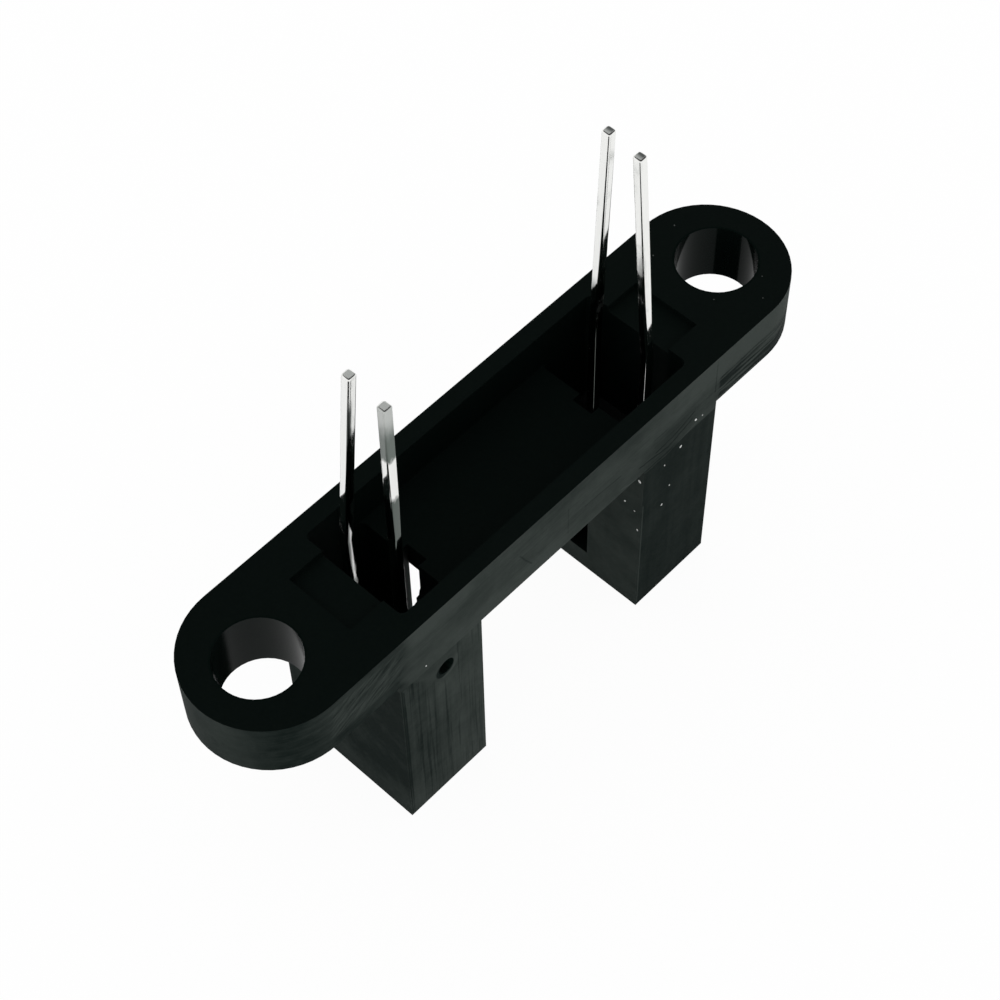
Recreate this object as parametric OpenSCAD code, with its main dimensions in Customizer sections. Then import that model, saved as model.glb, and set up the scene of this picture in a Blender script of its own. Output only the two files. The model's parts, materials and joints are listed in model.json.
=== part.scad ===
// Slotted optical switch. A black moulding has a screw ear at each end and two hollow towers
// with a sensing slot between them. An emitter stands in one tower and a detector in the other,
// facing each other through slits, and their leads leave through an open pocket.
// Millimetres. X runs along the bar, Z points from the tower ends to the leads,
// and the two tower ends lie on z = 0. The emitter is on the -X side.

/* [Screw ears] */
// Length of the moulding over both ears
bar_l = 29.3; // [28:0.1:36]
// Diameter of the screw holes
hole_d = 3.2; // [2.2:0.1:3.6]
// From a screw hole's centre to the end of its ear
ear_reach = 2.7; // [2.3:0.05:4.5]
// Thickness of an ear
ear_t = 2.7; // [1.5:0.1:4]

/* [Towers] */
// Clear width of the sensing slot
slot_gap = 8.8; // [4:0.1:10]
// Height of the moulding from the tower ends to the lead side
body_h = 12.4; // [10.5:0.1:18]
// Wall between a tower's cavity and the slot
slot_wall = 0.4; // [0.3:0.05:0.8]
// Wall between a tower's cavity and its ear side
outer_wall = 1.05; // [0.6:0.05:1.4]
// Closed end of a tower
end_wall = 1.1; // [0.6:0.1:2]
// Width of the slit in a tower's slot wall
slit_w = 0.95; // [0.4:0.05:2]

/* [Pocket] */
// Rim on each long side of the pocket
rim_w = 0.75; // [0.5:0.05:1.5]
// Depth of the pocket below the lead side
pocket_depth = 1.9; // [0.8:0.1:2.4]
// Floor between the pocket and the slot
floor_t = 1.2; // [0.7:0.1:2]
// Radius of the upright corners in the pocket, the cavities and the packages
corner_r = 0.25; // [0.1:0.05:0.5]
// Length of the shallow step at each end of the pocket
step_l = 1.6; // [0.6:0.1:2]
// Width of the shallow step
step_w = 3; // [1:0.1:4]
// Depth of the shallow step
step_depth = 0.25; // [0.1:0.05:0.6]

/* [Side hole] */
// Diameter of the small hole in the side of the emitter tower
side_hole_d = 0.75; // [0.4:0.05:1.2]
// From the underside of the bar down to the hole's centre
side_hole_drop = 0.9; // [0.7:0.05:2]
// From the slot face to the hole's centre
side_hole_inset = 1.85; // [1.2:0.05:2.4]

/* [Emitter and detector packages] */
// Width of a package
package_w = 4.4; // [4:0.1:5.5]
// Height of a package
package_h = 5.7; // [4.5:0.1:7]
// Thickness of a package without its lens
package_t = 1.8; // [1.5:0.1:2.4]
// Radius of the lens bump
lens_r = 0.75; // [0.5:0.05:0.95]
// From a package's foot to its lens
lens_h = 2.3; // [1.6:0.1:2.9]
// Clearance in front of the lens and behind the package
seat_clearance = 0.05; // [0.02:0.01:0.15]
// Clearance on each side of a package
side_clearance = 0.2; // [0.05:0.05:0.4]

/* [Leads and chips] */
// Thickness of a square lead
lead_s = 0.4; // [0.3:0.05:0.6]
// Distance between the two leads of a package
lead_pitch = 2.54; // [2.3:0.02:3]
// How far the bent leads stand out of the lead side
lead_out = 10.25; // [2:0.25:16]
// How much less the emitter's straight lead stands out, and how much more the detector's does
straight_trim = 0.25; // [0:0.05:0.5]
// How far the tip of the emitter's bent lead leans towards its partner
emitter_lean_w = 1.1; // [0.2:0.05:1.4]
// How far the tip of the detector's bent lead leans towards its partner
detector_lean_w = 0.85; // [0.2:0.05:1.4]
// How far the tip of the emitter's straight lead is pushed away from its partner
emitter_push = 0.1; // [0.05:0.05:0.5]
// How far the tip of the detector's straight lead is pushed towards its partner
detector_push = 0.3; // [0.05:0.05:0.5]
// Side of the square pad that carries the chip
pad_s = 0.7; // [0.5:0.05:0.9]
// Gap between the chip's pad and the other lead's pad
pad_gap = 0.2; // [0.1:0.05:0.3]
// Side of the square chip
chip_s = 0.36; // [0.2:0.02:0.46]
// Thickness of the chip
chip_t = 0.15; // [0.1:0.01:0.2]
// Diameter of the bond wire
wire_d = 0.05; // [0.03:0.01:0.08]

/* [Hidden] */
$fn = 64;
cut_over = 0.5;
cavity_t = lens_r + package_t + 2 * seat_clearance;
cavity_w = package_w + 2 * side_clearance;
bar_w = cavity_w + 2 * rim_w;
bar_underside = body_h - pocket_depth - floor_t;
pocket_floor = body_h - pocket_depth;
slot_x = slot_gap / 2;
cavity_x = slot_x + slot_wall;
pocket_x = cavity_x + cavity_t;
tower_x = pocket_x + outer_wall;
hole_x = bar_l / 2 - ear_reach;
ear_centre_x = (bar_l - bar_w) / 2;
lens_plane_x = cavity_x + seat_clearance + lens_r;
lead_tip = body_h + lead_out - end_wall;
bend_start = body_h - end_wall;
lead_face = (lead_s - package_t) / 2;
pad_foot = lens_h - pad_s / 2;
wire_span = pad_s / 2 + pad_gap + lead_s / 2;

// Rectangle with round corners, centred
module rounded_rect(length, width) {
    square([length - 2 * corner_r, width], center = true);
    square([length, width - 2 * corner_r], center = true);
    for (sx = [-1, 1], sy = [-1, 1])
        translate([sx * (length / 2 - corner_r), sy * (width / 2 - corner_r)])
            circle(corner_r);
}

// What is drawn for the -X end, and again turned half way round for the +X end
module both_ends() {
    for (turn = [0, 180])
        rotate([0, 0, turn])
            children();
}

// The two towers joined by the bar, one profile drawn along the width
module tower_frame() {
    rotate([90, 0, 0])
        linear_extrude(height = bar_w, center = true)
            difference() {
                translate([-tower_x, 0])
                    square([2 * tower_x, body_h]);
                translate([-slot_x, -cut_over])
                    square([slot_gap, bar_underside + cut_over]);
            }
}

// One round-ended ear, rooted in its tower
module ear() {
    translate([0, 0, body_h - ear_t])
        linear_extrude(height = ear_t) {
            translate([-ear_centre_x, 0])
                circle(d = bar_w);
            translate([-ear_centre_x, -bar_w / 2])
                square([ear_centre_x - pocket_x, bar_w]);
        }
}

module screw_hole() {
    translate([-hole_x, 0, body_h - ear_t - cut_over])
        cylinder(d = hole_d, h = ear_t + 2 * cut_over);
}

// Long open pocket on the lead side
module pocket() {
    translate([0, 0, pocket_floor])
        linear_extrude(height = pocket_depth + cut_over)
            rounded_rect(2 * pocket_x, cavity_w);
}

// Deep cavity of a tower, down to its closed end
module cavity() {
    translate([-(cavity_x + pocket_x) / 2, 0, end_wall])
        linear_extrude(height = body_h - end_wall + cut_over)
            rounded_rect(cavity_t, cavity_w);
}

// Tall slit in the slot wall, open at its top into the pocket floor
module slit() {
    cavity_mid_x = (cavity_x + pocket_x) / 2;
    translate([-cavity_mid_x, -slit_w / 2, end_wall])
        cube([cavity_mid_x - slot_x, slit_w, pocket_floor - end_wall + cut_over]);
    translate([-cavity_mid_x, -slit_w / 2, end_wall])
        cube([cavity_mid_x - slot_x + cut_over, slit_w, bar_underside - end_wall]);
}

// Shallow step from the pocket's end towards the screw hole
module pocket_step() {
    translate([-pocket_x - step_l, -step_w / 2, body_h - step_depth])
        cube([step_l + cavity_t / 2, step_w, step_depth + cut_over]);
}

// Small round hole from the side of the emitter tower into its cavity
module side_hole() {
    translate([-slot_x - side_hole_inset, -cavity_w / 2 + corner_r, bar_underside - side_hole_drop])
        rotate([90, 0, 0])
            cylinder(d = side_hole_d, h = rim_w + corner_r + cut_over);
}

module housing() {
    color("#1b1f1e")
        difference() {
            union() {
                tower_frame();
                both_ends()
                    ear();
            }
            pocket();
            both_ends() {
                screw_hole();
                cavity();
                slit();
                pocket_step();
            }
            side_hole();
        }
}

// Places of the two packages: the foot of each on its cavity's floor, its lens towards the slot
module emitter_place() {
    translate([-lens_plane_x, 0, end_wall])
        children();
}

module detector_place() {
    rotate([0, 0, 180])
        emitter_place()
            children();
}

// Flat metal of a lead: an outline across the package, drawn through the lead's thickness
module lead_metal() {
    translate([-package_t / 2, 0, 0])
        rotate([90, 0, 90])
            linear_extrude(height = lead_s, center = true)
                children();
}

// Outline of a lead: upright from its pad to the lead side, then leaning to its tip
module lead_outline(middle, lean, tip) {
    left = middle - lead_s / 2;
    right = middle + lead_s / 2;
    polygon([
        [left, pad_foot], [right, pad_foot], [right, bend_start],
        [right + lean, tip], [left + lean, tip], [left, bend_start]
    ]);
}

// Straight lead with the pad that carries the chip
module straight_lead(push, tip) {
    lead_edge = -(lead_pitch + lead_s) / 2;
    lead_metal() {
        lead_outline(-lead_pitch / 2, push, tip);
        translate([lead_edge, pad_foot])
            square([pad_s / 2 - lead_edge, pad_s]);
    }
}

// Bent lead with the pad for the bond wire
module bent_lead(lean) {
    pad_edge = pad_s / 2 + pad_gap;
    lead_metal() {
        lead_outline(lead_pitch / 2, -lean, lead_tip);
        translate([pad_edge, pad_foot])
            square([(lead_pitch + lead_s) / 2 - pad_edge, pad_s]);
    }
}

module chip() {
    translate([lead_face, -chip_s / 2, lens_h - chip_s / 2])
        cube([chip_t, chip_s, chip_s]);
}

// Half-round arch from the chip to the other lead's pad, with a short upright foot
module bond_wire() {
    translate([lead_face + chip_t, wire_span / 2, lens_h])
        rotate([0, 0, -90])
            rotate_extrude(angle = 180)
                translate([wire_span / 2, 0])
                    circle(d = wire_d);
    translate([lead_face, wire_span, lens_h])
        rotate([0, 90, 0])
            cylinder(d = wire_d, h = chip_t);
}

// Moulded block with a lens bump, closed around the metal inside it, which is given as children
module package_body() {
    difference() {
        union() {
            translate([-package_t / 2, 0, 0])
                linear_extrude(height = package_h)
                    rounded_rect(package_t, package_w);
            translate([0, 0, lens_h])
                sphere(lens_r);
        }
        children();
        chip();
        bond_wire();
    }
}

module emitter_leads() {
    straight_lead(-emitter_push, lead_tip - straight_trim);
    bent_lead(emitter_lean_w);
}

module detector_leads() {
    straight_lead(detector_push, lead_tip + straight_trim);
    bent_lead(detector_lean_w);
}

module emitter_body() {
    color("#c9d3dc")
        emitter_place()
            package_body()
                emitter_leads();
}

module emitter_straight_lead() {
    color("silver")
        emitter_place()
            straight_lead(-emitter_push, lead_tip - straight_trim);
}

module emitter_bent_lead() {
    color("silver")
        emitter_place()
            bent_lead(emitter_lean_w);
}

module emitter_chip() {
    color("dimgray")
        emitter_place()
            chip();
}

module emitter_bond_wire() {
    color("gold")
        emitter_place()
            bond_wire();
}

module detector_body() {
    color("#1b1f1e")
        detector_place()
            package_body()
                detector_leads();
}

module detector_straight_lead() {
    color("silver")
        detector_place()
            straight_lead(detector_push, lead_tip + straight_trim);
}

module detector_bent_lead() {
    color("silver")
        detector_place()
            bent_lead(detector_lean_w);
}

module detector_chip() {
    color("dimgray")
        detector_place()
            chip();
}

module detector_bond_wire() {
    color("gold")
        detector_place()
            bond_wire();
}

housing();
emitter_body();
emitter_straight_lead();
emitter_bent_lead();
emitter_chip();
emitter_bond_wire();
detector_body();
detector_straight_lead();
detector_bent_lead();
detector_chip();
detector_bond_wire();
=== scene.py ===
"""Looks of a slotted optical switch: camera, light, finishes and the small traces of its moulding.

Metres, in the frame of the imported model: X along the bar, Z from the tower ends up to the leads.
Sizes in the constants below are millimetres, and MM turns them into metres.
A range is a pair of values: where a mask starts to change and where it has changed.
A span has a low end, a high end and the softness of both.
Left and right are as the camera sees them: the emitter is on the left, the detector on the right.
"""

import json
import math
import random

import bmesh
import bpy
from mathutils import Matrix, Vector


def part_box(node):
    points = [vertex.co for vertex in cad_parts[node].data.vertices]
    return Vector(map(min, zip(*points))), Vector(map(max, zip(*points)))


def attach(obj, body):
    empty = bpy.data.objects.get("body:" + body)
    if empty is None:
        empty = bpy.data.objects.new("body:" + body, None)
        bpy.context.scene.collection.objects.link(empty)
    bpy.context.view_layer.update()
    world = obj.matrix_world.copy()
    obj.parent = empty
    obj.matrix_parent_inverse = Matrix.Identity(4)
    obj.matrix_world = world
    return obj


MM = 0.001

# Camera: where it looks, from how far and from which side
CAMERA_TARGET = Vector((0.485, 0.562, 8.0))
CAMERA_DISTANCE = 84.98
CAMERA_AZIMUTH = 45.71
CAMERA_ELEVATION = 55.28
CAMERA_ROLL = -1.29
CAMERA_LENS = 81.38
SENSOR_WIDTH = 36.0

# Studio: white sheet below, even light, and a dim ceiling in the reflections above this range of heights
FLOOR_SIZE = 4000.0
FLOOR_COLOUR = "#fafafa"
FLOOR_WHITE_SHARE = 0.95
FLOOR_MIRROR_SHARE = 0.25
STUDIO_LIGHT = 0.95
CEILING_GLOW = 0.03
SIDES_FADE = (0.1, 0.6)

# Places on the moulding that the record doesn't give
POCKET_X = 7.45
POCKET_Y = 2.4
SLOT_X = 4.4
BAR_UNDERSIDE = 9.3

# Edges as moulded and as stamped
HOUSING_EDGE = 0.1
LEAD_EDGE = 0.1
EDGE_SEGMENTS = 3
EDGE_ANGLE = 30.0
FLAT_ANGLE = 0.5
WELD_DISTANCE = 0.0005

# Borders of the moulding's faces: ranges past the edge that each one follows, and from left to right
HOLE_BORDER = (0.02, 0.12)
OUTLINE_BORDER = (-0.16, -0.08)
POCKET_BORDER = (0.1, 0.4)
EAR_BORDER = (-0.1, -0.02)
SLOT_BORDER = (0.05, 0.2)
BAR_BORDER = (-0.05, 0.05)
MIDDLE = (-1.0, 1.0)

# Directions of faces: ranges of one part of the normal
LEVEL = (0.75, 0.95)
ALONG = (0.3, 0.9)
FRONT = (-0.9, -0.6)
RIM_UP = (0.2, 0.45)
RIM_FRONT = (-0.6, -0.3)

# Patterns: noise per millimetre along X, Y and Z, its detail and its roughness
LENGTHWISE = ((0.3, 0.3, 7.0), 5.0, 0.65)
UPRIGHT = ((2.5, 2.5, 0.14), 4.0, 0.6)
SCRATCHES = ((9.0, 9.0, 0.2), 2.0, 0.55)
MOTTLES = ((2.6, 2.6, 3.2), 3.0, 0.55)
CLOUDS = ((0.45, 0.45, 0.6), 2.0, 0.55)
FILE_MARKS = ((0.9, 0.9, 7.0), 4.0, 0.7)
LINE_SHAKE = ((1.3, 1.3, 1.3), 3.0, 0.55)
GRAIN = ((9.0, 9.0, 9.0), 4.0, 0.55)
DRAWN = ((22.0, 22.0, 0.5), 3.0, 0.55)
TIN_PATCHES = ((0.9, 0.9, 0.55), 3.0, 0.55)
RAGGED = ((7.0, 7.0, 3.0), 3.0, 0.55)
RESIN_CLOUDS = ((1.5, 1.5, 1.5), 3.0, 0.55)
CHIP_GRAIN = ((20.0, 20.0, 20.0), 3.0, 0.55)
WIRE_GRAIN = ((30.0, 30.0, 30.0), 3.0, 0.55)
DUST_GRAIN = ((14.0, 14.0, 14.0), 3.0, 0.55)
NOISE_MIDDLE = 0.5
NOISE_RANGE = (0.3, 0.7)

# Finish of the moulding: gloss and relief
PLASTIC_SPECULAR = 0.05
GLOSS_TINT = (0.8, 1.0, 0.93, 1.0)
MATT_ROUGHNESS = 0.45
RUBBED_ROUGHNESS = 0.65
GRAIN_ROUGHNESS = 0.12
HOLE_ROUGHNESS = (0.2, 0.1)
RELIEF = 0.02
RELIEF_STRENGTH = 0.25
GRAIN_RELIEF = 0.4

# How grey each side is, from 0 to 1, and where that changes along the bar and up the towers. The grey is
# partly rubbed wear and partly painted sheen: each side's level stands in for how much of the lit white sheet
# it reflects
BAR_TONE = 0.72
LEFT_BAR_TONE = 0.3
LEFT_EAR_TONE = 0.12
EAR_END_TONE = 0.4
TOWER_TONES = (0.65, 0.07)
TOWER_END_TONES = (0.05, 0.55)
SMOOTH_TONE = 0.68
# Painted highlight on the rounded top edges of the front sides
RIM_HIGHLIGHT_TONE = 0.35
FOOT_TONE = 0.25
LEFT_EAR_X = (-12.6, -11.0)
LEFT_BAR_X = (-8.6, -7.6)
FOOT_Z = (0.2, 3.2)
LEFT_FRONT_X = (-8.0, -4.6)
LEFT_FRONT_TONES = (-0.15, 0.2)

# How much each pattern changes the tone. Of a pair, the second is for the smoother right tower
LENGTHWISE_SHARE = 0.6
FILED_SHARE = 2.4
CLOUD_SHARES = (0.8, 0.35)
MOTTLE_SHARES = (0.35, 0.2)
UPRIGHT_SHARES = (1.1, 0.4)
SCRATCH_SHARES = (0.34, 0.0)
SCRATCH_RANGE = (0.33, 0.47)
FILED_MIDDLE = 0.42

# The filed ear and the scuffed ear on the front side, as spans
FILED_X = (-11.6, -8.3, 0.3)
FILED_Z = (10.3, 12.1, 0.15)
FILED_ANGLE = math.radians(28)
BELOW_FILED_Z = (9.6, 10.25, 0.1)
BELOW_FILED_TONE = -0.2
SCUFF_X = (8.6, 14.0, 0.1)
SCUFF_Z = (9.6, 11.1, 0.1)
SCUFF_STREAKS = (0.42, 0.6)
SCUFF_TONES = (-0.8, 0.1)

# The smooth patch round the small hole: above a slope, between two ranges along the bar and below a height
SMOOTH_SLOPE = 1.18
SMOOTH_ABOVE = (-0.15, 0.25)
SMOOTH_FROM_X = (-8.6, -8.4)
SMOOTH_TO_X = (-5.9, -5.7)
SMOOTH_TOP_Z = (10.0, 10.4)

# The small hole's rim: a lighter crescent on its lower right, and painted shade in the hole: a dark disc over
# it, a little below and to the left
SIDE_HOLE = (-6.25, 8.4)
PALE_CRESCENT_R = (0.42, 0.6, 0.06)
PALE_CRESCENT_SIDE = (0.2, 0.5)
PALE_CRESCENT_TONE = 0.6
HOLE_SHADE_CENTRE = (-6.31, 8.31)
HOLE_SHADE_R = (0.4, 0.48)
HOLE_SHADE_TONE = -0.9

# Lighter and darker patches of the bar's front: span along the bar, range of heights, tone
BAR_PATCHES = (
    ((6.0, 20.0, 2.5), (10.6, 11.3), 0.35),
    ((4.0, 7.0, 1.0), (11.0, 10.4), -0.3),
    ((-7.9, 0.5, 0.8), (10.4, 9.9), 0.25),
    ((-8.0, -4.8, 0.5), (11.3, 11.9), 0.35),
    ((-2.0, 4.0, 1.0), (11.4, 12.0), -0.2),
)

# Single lines on the front side: both ends and tone. Some are painted highlights and painted shade along
# edges, as noted below
LINE_WIDTH = 0.03
LINE_WOBBLE = 0.2
LINES = (
    ((8.36, 10.4), (8.36, 12.3), -0.4),
    ((0.17, 9.8), (0.17, 11.4), -0.2),
    ((-2.4, 11.2), (-1.75, 10.0), -0.35),
    ((5.0, 9.87), (6.07, 9.98), -0.55),
    ((6.07, 9.98), (7.2, 10.36), -0.55),
    ((4.05, 9.87), (5.69, 9.57), -0.55),
    ((5.69, 9.57), (7.1, 9.97), -0.55),
    ((1.07, 10.61), (3.03, 10.48), -0.35),
    ((4.8, 10.8), (5.6, 10.78), -0.25),
    # Painted highlight along the bar's lower edge over the right tower
    ((3.07, 9.52), (4.5, 9.2), 0.4),
    ((4.5, 9.2), (5.73, 9.15), 0.4),
    ((5.73, 9.15), (7.55, 9.53), 0.4),
    # Painted shade along the left tower's outer corner
    ((-8.44, 0.1), (-8.44, 9.3), -0.6),
    ((-8.35, 0.1), (-8.35, 9.2), -0.5),
    # Painted highlight along the right tower's lower left edge
    ((4.46, 0.2), (4.46, 7.0), 0.6),
)

# Dust: place on the face and size of each grain, and how flat and uneven the grains are
DUST_SEED = 4
FRONT_DUST = (
    (6.5, 8.8, 0.07), (5.6, 8.5, 0.04), (6.0, 6.8, 0.045), (5.6, 5.9, 0.055), (7.3, 9.7, 0.08),
    (7.7, 9.6, 0.035), (-7.2, 9.6, 0.04),
)
SLOT_DUST = ((-2.95, 8.5, 0.09), (-2.3, 6.6, 0.06), (-2.8, 6.4, 0.04), (-3.0, 5.3, 0.06))
TOP_DUST = (
    (12.2, 2.3, 0.04), (10.5, 1.9, 0.04), (10.4, -1.2, 0.03), (11.7, -2.5, 0.03), (12.5, -1.8, 0.03),
)
DUST_WIDTH = 0.7
DUST_HEIGHT = 0.35
DUST_UNEVEN = (0.75, 1.15)
DUST_SUBDIVISIONS = 2
DUST_ROUGHNESS = 0.9

# Torn flash in the emitter's slit: its plane, its thickness, and its outline across and up the wall
FLASH_X = -4.75
FLASH_T = 0.05
FLASH_OUTLINE = (
    (-0.475, 2.0), (0.2, 2.0), (0.2, 6.4), (0.08, 7.0), (-0.02, 7.2), (-0.08, 7.5),
    (-0.2, 7.8), (-0.19, 8.05), (-0.34, 8.4), (-0.4, 8.8), (-0.475, 9.1),
)

# Leads: how far their faces are crowned to one side, above the foot and in it
LEAD_TURN = math.radians(-15)
LEAD_FOOT_TURN = math.radians(10)
LEAD_FOOT_Z = (14.5, 15.5)

# Darker places of the leads: dulled patches all over, and ranges on single leads; the band on the emitter's
# back lead is painted shade beside its corner
PATCH_RANGE = (0.55, 0.7)
PATCH_SHARE = 0.3
LEAD_SEEN = (-0.6, -0.3)
EMITTER_FRONT_Y = (-0.9, -0.7)
DULL_TIP_Z = (19.75, 20.05)
PALE_TIP_Z = (21.0, 22.2)
DULL_FOOT_Z = (17.6, 18.0)
DULL_RAGGED = 0.5
EMITTER_BACK_Y = (-0.6, -0.2)
SHADE_BAND_SIDE = (-0.6, -0.2)
SHADE_BAND_X = (-6.6, -6.48)
SHADE_BAND_Z = (20.6, 21.8)
DETECTOR_BACK_Y = (0.7, 0.9)
ACROSS_RAGGED = 0.2

# Cut ends of the leads, with a light and a dark side on the detector's
CUT_UP = (0.85, 0.97)
SHORN_X = (6.38, 6.56)

# Gloss of the metals and the resins
TIN_ROUGHNESS = (0.05, 0.1)
CUT_ROUGHNESS = 0.6
TIP_ROUGHNESS = 0.3
CUT_DULLNESS = 0.8
METAL_ROUGHNESS = (0.15, 0.35)
RESIN_ROUGHNESS = (0.08, 0.2)
RESIN_IOR = 1.54


def linear(hex_colour):
    """The RGBA that a shader socket takes for a colour written as it should look."""
    channels = [int(hex_colour[i:i + 2], 16) / 255 for i in (1, 3, 5)]
    return (*[c / 12.92 if c < 0.04045 else ((c + 0.055) / 1.055) ** 2.4 for c in channels], 1.0)


class Places:
    """Where the moulding's features lie, in millimetres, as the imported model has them."""

    def __init__(self, record):
        low, high = [Vector(corner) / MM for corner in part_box("housing")]
        mounts = {mount["name"]: mount for mount in record["mounts"]}
        hole = mounts["screw_hole_detector_side"]
        self.hole_x = hole["pos_m"][0] / MM
        self.hole_r = hole["dims"]["r_mm"]
        self.ear_underside = mounts["ear_underside"]["pos_m"][2] / MM
        self.half_width = high.y
        self.end_centre_x = high.x - high.y
        self.front_y = low.y
        self.top_z = high.z


class Graph:
    """A short way to write the nodes of one material or world."""

    def __init__(self, owner):
        self.owner = owner
        owner.use_nodes = True
        self.tree = owner.node_tree
        self.tree.nodes.clear()

    def add(self, kind, settings=None, **inputs):
        """A new node. Settings are its own choices, and inputs are values or other nodes' outputs."""
        made = self.tree.nodes.new(kind)
        for name, value in (settings or {}).items():
            setattr(made, name, value)
        for name, value in inputs.items():
            self.put(value, self.socket(made, name))
        return made

    def socket(self, made, name):
        """An input by its label with spaces as underscores, or by its number as in_0."""
        if name.startswith("in_"):
            return made.inputs[int(name[3:])]
        return next(s for s in made.inputs if s.enabled and s.name.lower() == name.replace("_", " ").lower())

    def put(self, value, target):
        if isinstance(value, bpy.types.NodeSocket):
            self.tree.links.new(value, target)
        else:
            target.default_value = value

    def math(self, operation, a, b=0.0):
        return self.add("ShaderNodeMath", {"operation": operation}, in_0=a, in_1=b).outputs[0]

    def ramp(self, value, low, high, to_low=0.0, to_high=1.0):
        """A smooth step from to_low to to_high while the value goes from low to high."""
        settings = {"interpolation_type": "SMOOTHSTEP"}
        made = self.add("ShaderNodeMapRange", settings, Value=value)
        for name, number in (("From Min", low), ("From Max", high), ("To Min", to_low), ("To Max", to_high)):
            made.inputs[name].default_value = number
        return made.outputs["Result"]

    def fall(self, value, low, high):
        """A smooth step down from 1 to 0 while the value goes from low to high."""
        return self.ramp(value, low, high, 1.0, 0.0)

    def past(self, value, edge, border):
        """1 where the value is past an edge, with a border given as a range from that edge."""
        return self.ramp(value, edge + border[0], edge + border[1])

    def before(self, value, edge, border):
        """1 where the value hasn't reached an edge, with a border given as a range from that edge."""
        return self.fall(value, edge + border[0], edge + border[1])

    def between(self, value, low, high, soft):
        """1 where the value lies between low and high, with soft borders."""
        return self.product(
            self.ramp(value, low - soft, low + soft), self.fall(value, high - soft, high + soft)
        )

    def blend(self, factor, a, b, kind="FLOAT"):
        """Value a where the factor is 0 and b where it is 1."""
        made = self.add("ShaderNodeMix", {"data_type": kind})
        for name, value in (("Factor", factor), ("A", a), ("B", b)):
            self.put(value, self.socket(made, name))
        return next(s for s in made.outputs if s.enabled)

    def mix(self, factor, a, b):
        """Colour a where the factor is 0 and b where it is 1."""
        return self.blend(factor, a, b, "RGBA")

    def noise(self, place, scale, detail, roughness):
        """Noise from 0 to 1, drawn out along an axis whose scale is small. Scales are per millimetre."""
        stretched = self.add("ShaderNodeVectorMath", {"operation": "MULTIPLY"}, in_0=place, in_1=scale)
        made = self.add("ShaderNodeTexNoise", Vector=stretched.outputs[0], Detail=detail, Roughness=roughness)
        made.inputs["Scale"].default_value = 1.0
        return made.outputs["Fac"]

    def product(self, *factors):
        """The product of several values."""
        total = factors[0]
        for factor in factors[1:]:
            total = self.math("MULTIPLY", total, factor)
        return total

    def highest(self, *values):
        """The highest of several values."""
        total = values[0]
        for value in values[1:]:
            total = self.math("MAXIMUM", total, value)
        return total

    def opposite(self, mask):
        return self.math("SUBTRACT", 1.0, mask)

    def swing(self, pattern, middle, share):
        """A pattern as what it adds or takes away: its distance from its middle, times a share."""
        return self.product(self.math("SUBTRACT", pattern, middle), share)

    def length(self, a, b):
        """The length of a flat vector."""
        return self.math("SQRT", self.math("ADD", self.math("MULTIPLY", a, a), self.math("MULTIPLY", b, b)))

    def line(self, x, z, start, end, width):
        """1 on a thin line from start to end, on a face where x goes across and z up."""
        run = math.dist(start, end)
        step_x, step_z = [(b - a) / run for a, b in zip(start, end)]
        from_x = self.math("SUBTRACT", x, start[0])
        from_z = self.math("SUBTRACT", z, start[1])
        along = self.math("ADD", self.product(from_x, step_x), self.product(from_z, step_z))
        across = self.math("SUBTRACT", self.product(from_z, step_x), self.product(from_x, step_z))
        return self.product(self.between(along, 0.0, run, width), self.between(across, -width, width, width))

    def finish(self, shader):
        """Ends a material's graph in this shader and returns the material."""
        self.put(shader.outputs[0], self.add("ShaderNodeOutputMaterial").inputs["Surface"])
        return self.owner

    def millimetres(self):
        """The place on the part, in millimetres."""
        coordinates = self.add("ShaderNodeTexCoord").outputs["Object"]
        scaled = self.add("ShaderNodeVectorMath", {"operation": "SCALE"}, in_0=coordinates, Scale=1 / MM)
        return scaled.outputs[0]

    def normal(self):
        return self.add("ShaderNodeNewGeometry").outputs["Normal"]

    def xyz(self, vector):
        return self.add("ShaderNodeSeparateXYZ", Vector=vector).outputs


def add_camera():
    azimuth = math.radians(CAMERA_AZIMUTH)
    elevation = math.radians(CAMERA_ELEVATION)
    roll = math.radians(CAMERA_ROLL)
    level = Vector((math.cos(azimuth), -math.sin(azimuth), 0))
    forward = Vector((math.sin(azimuth), math.cos(azimuth), 0)) * math.cos(elevation)
    forward.z = -math.sin(elevation)
    upright = level.cross(forward)
    right = math.cos(roll) * level + math.sin(roll) * upright
    up = right.cross(forward)
    data = bpy.data.cameras.new("camera")
    data.sensor_fit = "HORIZONTAL"
    data.sensor_width = SENSOR_WIDTH
    data.lens = CAMERA_LENS
    data.clip_start = MM
    camera = bpy.data.objects.new("camera", data)
    bpy.context.scene.collection.objects.link(camera)
    turn = Matrix((right, up, -forward)).transposed().to_4x4()
    place = (CAMERA_TARGET - forward * CAMERA_DISTANCE) * MM
    camera.matrix_world = Matrix.Translation(place) @ turn
    bpy.context.scene.camera = camera


def white_rays(graph, path):
    """1 for the rays that should meet plain white: the camera's and those through glass."""
    return graph.highest(path["Is Camera Ray"], path["Is Transmission Ray"])


def add_world():
    """White behind the object and even light all round. Reflections show white sides and a dim ceiling."""
    world = bpy.data.worlds.new("studio")
    bpy.context.scene.world = world
    graph = Graph(world)
    path = graph.add("ShaderNodeLightPath").outputs
    height = graph.xyz(graph.add("ShaderNodeTexCoord").outputs["Generated"])["Z"]
    mirrored = graph.ramp(height, *SIDES_FADE, 1.0, CEILING_GLOW)
    light = graph.blend(path["Is Glossy Ray"], STUDIO_LIGHT, mirrored)
    strength = graph.highest(white_rays(graph, path), light)
    background = graph.add("ShaderNodeBackground", Color=linear("#ffffff"), Strength=strength)
    graph.put(background.outputs[0], graph.add("ShaderNodeOutputWorld").inputs["Surface"])


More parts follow.
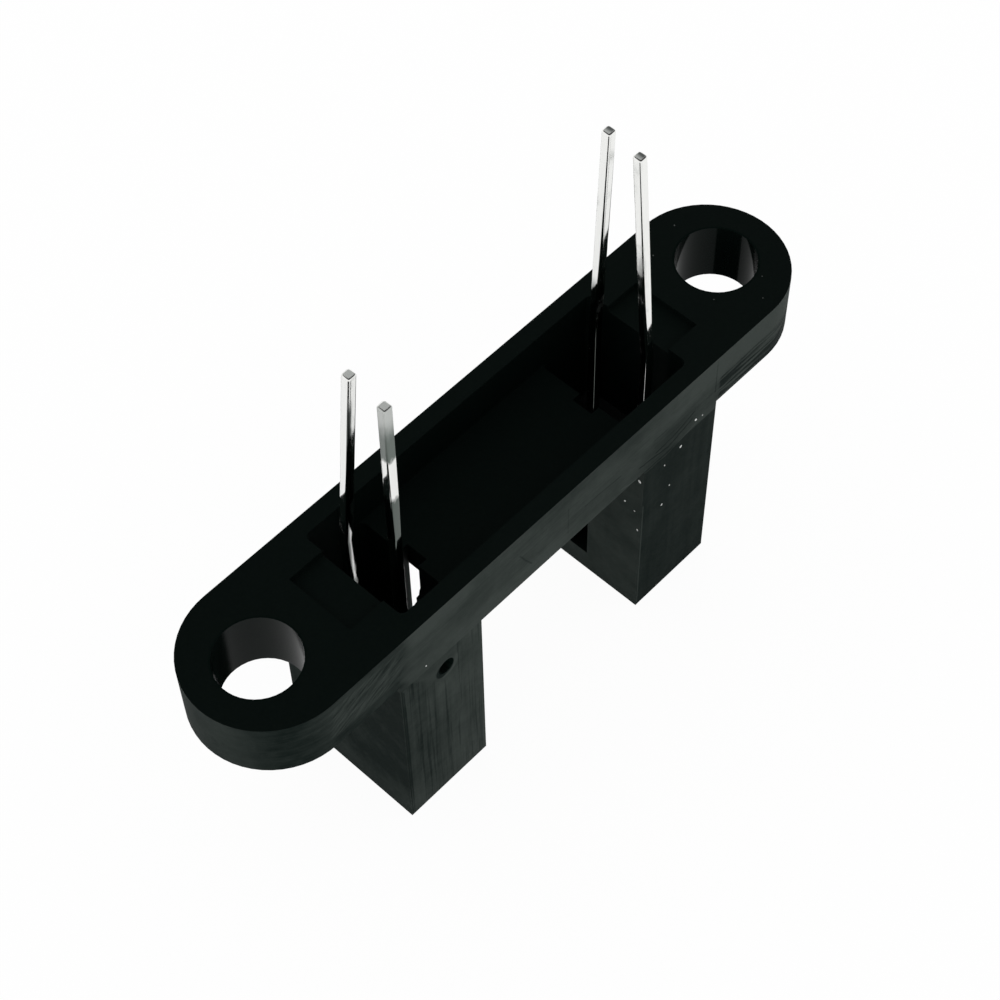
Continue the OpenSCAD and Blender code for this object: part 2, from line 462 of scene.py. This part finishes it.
def floor_material():
    """White sheet that shows a faint shadow, and nothing at all from below."""
    graph = Graph(bpy.data.materials.new("white_sheet"))
    path = graph.add("ShaderNodeLightPath").outputs
    glow = graph.add("ShaderNodeEmission", Color=linear("#ffffff"), Strength=1.0)
    paper = graph.add("ShaderNodeBsdfDiffuse", Color=linear(FLOOR_COLOUR))
    share = graph.highest(
        graph.product(white_rays(graph, path), FLOOR_WHITE_SHARE),
        graph.product(path["Is Glossy Ray"], FLOOR_MIRROR_SHARE),
    )
    sheet = graph.add("ShaderNodeMixShader", in_0=share, in_1=paper.outputs[0], in_2=glow.outputs[0])
    below = graph.add("ShaderNodeNewGeometry").outputs["Backfacing"]
    clear = graph.add("ShaderNodeBsdfTransparent")
    both = graph.add("ShaderNodeMixShader", in_0=below, in_1=sheet.outputs[0], in_2=clear.outputs[0])
    return graph.finish(both)


def add_floor():
    half = FLOOR_SIZE * MM / 2
    mesh = bpy.data.meshes.new("floor")
    corners = [(-half, -half, 0), (half, -half, 0), (half, half, 0), (-half, half, 0)]
    mesh.from_pydata(corners, [], [(0, 1, 2, 3)])
    mesh.materials.append(floor_material())
    floor = bpy.data.objects.new("floor", mesh)
    bpy.context.scene.collection.objects.link(floor)


class Faces:
    """Masks from 0 to 1 that tell the moulding's faces apart, by place in millimetres and by direction."""

    def __init__(self, graph, place):
        self.x, self.y, self.z = graph.xyz(place)
        nx, ny, nz = graph.xyz(graph.normal())
        far_x = graph.math("ABSOLUTE", self.x)
        far_y = graph.math("ABSOLUTE", self.y)
        to_hole = graph.length(graph.math("SUBTRACT", far_x, places.hole_x), self.y)
        self.in_hole = graph.before(to_hole, places.hole_r, HOLE_BORDER)
        past_end = graph.highest(graph.math("SUBTRACT", far_x, places.end_centre_x), 0.0)
        outline = graph.past(graph.length(past_end, self.y), places.half_width, OUTLINE_BORDER)
        past_pocket = graph.highest(
            graph.past(far_y, POCKET_Y, POCKET_BORDER), graph.past(far_x, POCKET_X, POCKET_BORDER)
        )
        below_ears = graph.before(self.z, places.ear_underside, EAR_BORDER)
        in_slot = graph.product(
            graph.before(far_x, SLOT_X, SLOT_BORDER), graph.before(self.z, BAR_UNDERSIDE, SLOT_BORDER)
        )
        outside = graph.highest(outline, graph.product(below_ears, past_pocket), in_slot)
        upright = graph.fall(graph.math("ABSOLUTE", nz), *LEVEL)
        self.outer = graph.product(outside, upright, graph.opposite(self.in_hole))
        self.along = graph.ramp(graph.math("ABSOLUTE", ny), *ALONG)
        self.right = graph.ramp(self.x, *MIDDLE)
        self.left = graph.opposite(self.right)
        self.front = graph.fall(ny, *FRONT)
        self.bar = graph.past(self.z, BAR_UNDERSIDE, BAR_BORDER)
        self.tower = graph.opposite(self.bar)
        # The rounded top edges of the front sides, where a painted highlight goes
        self.rim = graph.product(
            graph.ramp(graph.product(nz, graph.length(nx, ny)), *RIM_UP), graph.fall(ny, *RIM_FRONT)
        )
        above_slope = graph.math("ADD", self.z, graph.product(self.x, SMOOTH_SLOPE))
        self.smooth = graph.product(
            self.front, graph.ramp(above_slope, *SMOOTH_ABOVE), graph.ramp(self.x, *SMOOTH_FROM_X),
            graph.fall(self.x, *SMOOTH_TO_X), graph.fall(self.z, *SMOOTH_TOP_Z),
        )
        self.streaky = graph.opposite(self.smooth)
        self.bar_front = graph.product(self.bar, self.front)
        self.tower_front = graph.product(self.tower, self.front, self.streaky)
        self.right_front = graph.product(self.right, self.front)

    def away(self, graph, point):
        """How far a place on the front side is from a point on it, across and up."""
        return graph.math("SUBTRACT", self.x, point[0]), graph.math("SUBTRACT", self.z, point[1])


def side_tone(graph, faces):
    """How grey each outer side is, before its patterns and marks: painted sheen, one level for each side as
    the light falls on it.
    """
    left_bar = graph.ramp(faces.x, *LEFT_EAR_X, LEFT_EAR_TONE, LEFT_BAR_TONE)
    bar_side = graph.blend(graph.ramp(faces.x, *LEFT_BAR_X), left_bar, BAR_TONE)
    ends = graph.blend(faces.bar, graph.blend(faces.right, *TOWER_END_TONES), EAR_END_TONE)
    sides = graph.blend(faces.bar, graph.blend(faces.right_front, *TOWER_TONES), bar_side)
    return graph.blend(faces.smooth, graph.blend(faces.along, ends, sides), SMOOTH_TONE)


def patterns(graph, place, faces, lengthwise):
    """What the wear of each side adds to its tone."""
    right_tower = graph.product(faces.tower, faces.right_front)
    scratched = graph.ramp(graph.noise(place, *SCRATCHES), *SCRATCH_RANGE)
    slanted = graph.add(
        "ShaderNodeVectorRotate", {"rotation_type": "Y_AXIS"}, Vector=place, Angle=FILED_ANGLE
    )
    file_marks = graph.noise(slanted.outputs[0], *FILE_MARKS)
    filed = graph.product(
        faces.front, graph.between(faces.x, *FILED_X), graph.between(faces.z, *FILED_Z), FILED_SHARE
    )
    bar_streaks = graph.product(faces.bar, faces.along, faces.streaky, LENGTHWISE_SHARE)
    tower_streaks = graph.product(faces.tower_front, graph.blend(faces.right, *UPRIGHT_SHARES))
    scratches = graph.product(faces.tower_front, graph.blend(faces.right, *SCRATCH_SHARES))
    return [
        graph.swing(graph.noise(place, *CLOUDS), NOISE_MIDDLE, graph.blend(right_tower, *CLOUD_SHARES)),
        graph.swing(graph.noise(place, *MOTTLES), NOISE_MIDDLE, graph.blend(right_tower, *MOTTLE_SHARES)),
        graph.swing(lengthwise, NOISE_MIDDLE, bar_streaks),
        graph.swing(graph.noise(place, *UPRIGHT), NOISE_MIDDLE, tower_streaks),
        graph.swing(scratched, 1.0, scratches),
        graph.swing(file_marks, FILED_MIDDLE, filed),
    ]


def marks(graph, place, faces, lengthwise):
    """What single marks, nearly all on the front side, add to the tone. Some of them are painted highlights
    and painted shade.
    """
    hole_across, hole_up = faces.away(graph, SIDE_HOLE)
    from_hole = graph.length(hole_across, hole_up)
    to_lower_right = graph.math("SUBTRACT", hole_across, hole_up)
    from_hole_shade = graph.length(*faces.away(graph, HOLE_SHADE_CENTRE))
    shake =graph.swing(graph.noise(place, *LINE_SHAKE), NOISE_MIDDLE, LINE_WOBBLE)
    line_z = graph.math("ADD", faces.z, shake)
    scuffed = graph.ramp(lengthwise, *SCUFF_STREAKS, *SCUFF_TONES)
    on_front = [
        (graph.between(faces.x, *SCUFF_X), graph.between(faces.z, *SCUFF_Z), scuffed),
        (graph.between(faces.x, *FILED_X), graph.between(faces.z, *BELOW_FILED_Z), BELOW_FILED_TONE),
        (graph.between(from_hole, *PALE_CRESCENT_R), graph.ramp(to_lower_right, *PALE_CRESCENT_SIDE), PALE_CRESCENT_TONE),
        # Painted shade in the small hole
        (graph.ramp(from_hole_shade, *HOLE_SHADE_R, HOLE_SHADE_TONE, 0.0),),
    ]
    for start, end, tone in LINES:
        on_front.append((graph.line(faces.x, line_z, start, end, LINE_WIDTH), tone))
    found = [graph.product(faces.front, *factors) for factors in on_front]
    for span, heights, tone in BAR_PATCHES:
        patch = graph.product(graph.between(faces.x, *span), graph.ramp(faces.z, *heights))
        found.append(graph.product(faces.bar_front, patch, tone))
    left_front = graph.ramp(faces.x, *LEFT_FRONT_X, *LEFT_FRONT_TONES)
    found.append(graph.product(faces.tower_front, faces.left, left_front))
    found.append(graph.product(faces.tower, faces.left, graph.ramp(faces.z, *FOOT_Z, FOOT_TONE, 0.0)))
    # Painted highlight along the rounded top edges of the front sides
    found.append(graph.product(faces.rim, RIM_HIGHLIGHT_TONE))
    return found


def wear_and_painted_light_tone(graph, place, faces):
    """How grey the outer sides are, from 0 for black to 1: partly rubbed wear, partly painted sheen, painted
    highlights and painted shade.
    """
    lengthwise = graph.noise(place, *LENGTHWISE)
    tone = side_tone(graph, faces)
    for change in patterns(graph, place, faces, lengthwise) + marks(graph, place, faces, lengthwise):
        tone = graph.math("ADD", tone, change)
    return graph.add("ShaderNodeClamp", Value=tone).outputs[0]


def plastic_material():
    """Black moulding, left glossy in the holes and grey along its outer sides: partly rubbed wear, partly
    painted sheen in place of the white sheet's reflection.
    """
    graph = Graph(bpy.data.materials.new("housing_plastic"))
    place = graph.millimetres()
    faces = Faces(graph, place)
    grain = graph.noise(place, *GRAIN)
    tone = wear_and_painted_light_tone(graph, place, faces)
    moulded = graph.mix(grain, linear("#040a08"), linear("#080f0d"))
    # The outer sides' grey: partly rubbed wear, partly painted sheen
    wear_and_sheen_colour = graph.mix(tone, linear("#04110e"), linear("#373d3a"))
    colour = graph.mix(faces.outer, moulded, wear_and_sheen_colour)
    matt = graph.blend(faces.outer, MATT_ROUGHNESS, RUBBED_ROUGHNESS)
    grainy = graph.math("ADD", matt, graph.product(grain, GRAIN_ROUGHNESS))
    rough = graph.blend(faces.in_hole, grainy, graph.blend(faces.right, *HOLE_ROUGHNESS))
    relief = graph.math("ADD", graph.product(grain, GRAIN_RELIEF), graph.product(faces.outer, tone))
    strength = graph.product(graph.opposite(faces.in_hole), RELIEF_STRENGTH)
    bump = graph.add("ShaderNodeBump", Strength=strength, Distance=RELIEF * MM, Height=relief)
    shader = graph.add("ShaderNodeBsdfPrincipled", Base_Color=colour, Roughness=rough, Normal=bump.outputs[0])
    shader.inputs["Specular IOR Level"].default_value = PLASTIC_SPECULAR
    shader.inputs["Specular Tint"].default_value = GLOSS_TINT
    return graph.finish(shader)


def tin_material():
    """Bright tinned lead, drawn along its length, dulled in patches and at its cut end."""
    graph = Graph(bpy.data.materials.new("lead_tin"))
    place = graph.millimetres()
    x, y, z = graph.xyz(place)
    normal = graph.normal()
    nx, ny, nz = graph.xyz(normal)
    detector = graph.ramp(x, *MIDDLE)
    emitter = graph.opposite(detector)
    drawn = graph.noise(place, *DRAWN)
    patches = graph.noise(place, *TIN_PATCHES)
    ragged_x = graph.math("ADD", x, graph.swing(patches, NOISE_MIDDLE, ACROSS_RAGGED))
    ragged_z = graph.math("ADD", z, graph.product(graph.noise(place, *RAGGED), DULL_RAGGED))

    dull = graph.product(graph.ramp(patches, *PATCH_RANGE), PATCH_SHARE)
    seen = graph.fall(graph.math("MINIMUM", nx, ny), *LEAD_SEEN)
    emitter_front = graph.product(seen, emitter, graph.fall(y, *EMITTER_FRONT_Y))
    tip = graph.product(emitter_front, graph.ramp(ragged_z, *DULL_TIP_Z))
    foot = graph.product(emitter_front, graph.fall(ragged_z, *DULL_FOOT_Z))
    root = graph.product(detector, graph.ramp(y, *DETECTOR_BACK_Y), graph.fall(z, *LEAD_FOOT_Z))
    emitter_back = graph.product(emitter, graph.ramp(y, *EMITTER_BACK_Y))
    # Painted shade on the emitter's back lead, beside its corner
    shade_band = graph.product(
        emitter_back, graph.fall(ny, *SHADE_BAND_SIDE), graph.fall(ragged_x, *SHADE_BAND_X), graph.fall(z, *SHADE_BAND_Z)
    )
    cut_end = graph.ramp(nz, *CUT_UP)

    tip_colour = graph.mix(graph.ramp(ragged_z, *PALE_TIP_Z), linear("#6f7772"), linear("#c4c7c4"))
    cut_colour = graph.mix(graph.ramp(ragged_x, *SHORN_X), linear("#b4b7b4"), linear("#565a58"))
    colour = graph.mix(drawn, linear("#f0f1ee"), linear("#fefefc"))
    colour = graph.mix(dull, colour, linear("#9aa19c"))
    colour = graph.mix(tip, colour, tip_colour)
    colour = graph.mix(foot, colour, linear("#5c635f"))
    colour = graph.mix(root, colour, linear("#6c726e"))
    colour = graph.mix(shade_band, colour, linear("#474c49"))
    colour = graph.mix(cut_end, colour, cut_colour)

    spread = graph.highest(graph.product(cut_end, CUT_ROUGHNESS), graph.product(tip, TIP_ROUGHNESS), dull)
    rough = graph.math("ADD", graph.ramp(drawn, *NOISE_RANGE, *TIN_ROUGHNESS), spread)
    metal = graph.opposite(graph.product(cut_end, CUT_DULLNESS))
    emitter_turn = graph.ramp(z, *LEAD_FOOT_Z, LEAD_FOOT_TURN, LEAD_TURN)
    turn = graph.blend(detector, emitter_turn, LEAD_TURN)
    crowned = graph.add("ShaderNodeVectorRotate", {"rotation_type": "Z_AXIS"}, Vector=normal, Angle=turn)
    shader = graph.add(
        "ShaderNodeBsdfPrincipled",
        Base_Color=colour, Metallic=metal, Roughness=rough, Normal=crowned.outputs[0],
    )
    return graph.finish(shader)


def resin_material(name, light, dark, transmission):
    """Moulded resin with faint clouding."""
    graph = Graph(bpy.data.materials.new(name))
    clouds = graph.noise(graph.millimetres(), *RESIN_CLOUDS)
    colour = graph.mix(clouds, linear(light), linear(dark))
    rough = graph.ramp(clouds, *NOISE_RANGE, *RESIN_ROUGHNESS)
    shader = graph.add("ShaderNodeBsdfPrincipled", Base_Color=colour, Roughness=rough)
    shader.inputs["Transmission Weight"].default_value = transmission
    shader.inputs["IOR"].default_value = RESIN_IOR
    return graph.finish(shader)


def metal_material(name, light, dark, pattern):
    """Small metal or semiconductor piece with a fine grain."""
    graph = Graph(bpy.data.materials.new(name))
    grain = graph.noise(graph.millimetres(), *pattern)
    colour = graph.mix(grain, linear(light), linear(dark))
    rough = graph.ramp(grain, *NOISE_RANGE, *METAL_ROUGHNESS)
    shader = graph.add("ShaderNodeBsdfPrincipled", Base_Color=colour, Metallic=1.0, Roughness=rough)
    return graph.finish(shader)


def dust_material(name, light, dark):
    """Dust, not quite even."""
    graph = Graph(bpy.data.materials.new(name))
    grain = graph.noise(graph.millimetres(), *DUST_GRAIN)
    colour = graph.mix(grain, linear(light), linear(dark))
    shader = graph.add("ShaderNodeBsdfPrincipled", Base_Color=colour, Roughness=DUST_ROUGHNESS)
    return graph.finish(shader)


def add_piece(name, bm, material):
    """A new piece of the object, riding on the one body."""
    mesh = bpy.data.meshes.new(name)
    bm.to_mesh(mesh)
    bm.free()
    mesh.materials.append(material)
    piece = bpy.data.objects.new(name, mesh)
    bpy.context.scene.collection.objects.link(piece)
    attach(piece, "root")


def add_dust(name, material, grains):
    """Uneven flattened grains, each given by its place, the direction of the face it lies on and its size."""
    draw = random.Random(DUST_SEED)
    bm = bmesh.new()
    for point, normal, size in grains:
        turn = Vector(normal).to_track_quat("Z", "Y").to_matrix().to_4x4()
        squeeze = Matrix.Diagonal((size * MM, size * MM * DUST_WIDTH, size * MM * DUST_HEIGHT, 1.0))
        spin = Matrix.Rotation(draw.uniform(0, math.pi), 4, "Z")
        grain = Matrix.Translation(Vector(point) * MM) @ turn @ spin @ squeeze
        made = bmesh.ops.create_icosphere(bm, subdivisions=DUST_SUBDIVISIONS, radius=1.0)
        for vertex in made["verts"]:
            vertex.co = grain @ (vertex.co * draw.uniform(*DUST_UNEVEN))
    add_piece(name, bm, material)


def add_flash(material):
    """Thin torn film left by moulding along one side of the emitter's slit."""
    bm = bmesh.new()
    rings = []
    for x in (FLASH_X - FLASH_T / 2, FLASH_X + FLASH_T / 2):
        rings.append([bm.verts.new(Vector((x, y, z)) * MM) for y, z in FLASH_OUTLINE])
    bm.faces.new(rings[0])
    bm.faces.new(reversed(rings[1]))
    count = len(FLASH_OUTLINE)
    for i in range(count):
        j = (i + 1) % count
        bm.faces.new((rings[0][j], rings[0][i], rings[1][i], rings[1][j]))
    bmesh.ops.recalc_face_normals(bm, faces=bm.faces)
    add_piece("slit_flash", bm, material)


def dress(node, material):
    """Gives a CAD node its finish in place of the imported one, and joins points that its mesh has twice."""
    piece = frame["nodes"][node]
    piece.data.materials.clear()
    piece.data.materials.append(material)
    weld = piece.modifiers.new("weld", "WELD")
    weld.merge_threshold = WELD_DISTANCE * MM


def round_edges(node, width):
    """A small round on a CAD node's sharp edges, as a modifier: the node's own mesh stays as it is."""
    piece = frame["nodes"][node]
    flat = piece.modifiers.new("flat_faces", "DECIMATE")
    flat.decimate_type = "DISSOLVE"
    flat.angle_limit = math.radians(FLAT_ANGLE)
    bevel = piece.modifiers.new("edges", "BEVEL")
    bevel.width = width * MM
    bevel.segments = EDGE_SEGMENTS
    bevel.limit_method = "ANGLE"
    bevel.angle_limit = math.radians(EDGE_ANGLE)
    piece.modifiers.new("shading", "WEIGHTED_NORMAL")


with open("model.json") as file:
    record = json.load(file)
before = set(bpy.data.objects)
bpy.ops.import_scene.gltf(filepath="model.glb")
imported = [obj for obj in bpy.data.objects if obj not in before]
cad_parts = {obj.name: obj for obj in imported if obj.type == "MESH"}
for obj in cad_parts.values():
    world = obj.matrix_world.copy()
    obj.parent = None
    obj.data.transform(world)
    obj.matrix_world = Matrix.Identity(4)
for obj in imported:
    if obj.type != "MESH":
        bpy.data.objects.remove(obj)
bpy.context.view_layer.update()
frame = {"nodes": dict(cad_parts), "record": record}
places = Places(frame["record"])
bpy.context.scene.view_settings.view_transform = "Standard"
add_camera()
add_world()
add_floor()

plastic = plastic_material()
dress("housing", plastic)
round_edges("housing", HOUSING_EDGE)
tin = tin_material()
chip = metal_material("chip", "#4a4d55", "#2b2d33", CHIP_GRAIN)
wire = metal_material("bond_wire", "#e6c46a", "#c9a040", WIRE_GRAIN)
resins = {
    "emitter": resin_material("emitter_epoxy", "#dfe6ec", "#c3ced8", 0.85),
    "detector": resin_material("detector_epoxy", "#101312", "#1b1f1e", 0.0),
}
for package, resin in resins.items():
    dress(f"{package}_body", resin)
    dress(f"{package}_chip", chip)
    dress(f"{package}_bond_wire", wire)
    for lead in ("straight_lead", "bent_lead"):
        dress(f"{package}_{lead}", tin)
        round_edges(f"{package}_{lead}", LEAD_EDGE)

side_grains = [((x, places.front_y, z), (0, -1, 0), size) for x, z, size in FRONT_DUST]
side_grains += [((SLOT_X, y, z), (-1, 0, 0), size) for y, z, size in SLOT_DUST]
top_grains = [((x, y, places.top_z), (0, 0, 1), size) for x, y, size in TOP_DUST]
add_dust("side_dust", dust_material("pale_dust", "#b9bebb", "#f2f3f1"), side_grains)
add_dust("top_dust", dust_material("grey_dust", "#2c302e", "#4a4f4c"), top_grains)
add_flash(plastic)
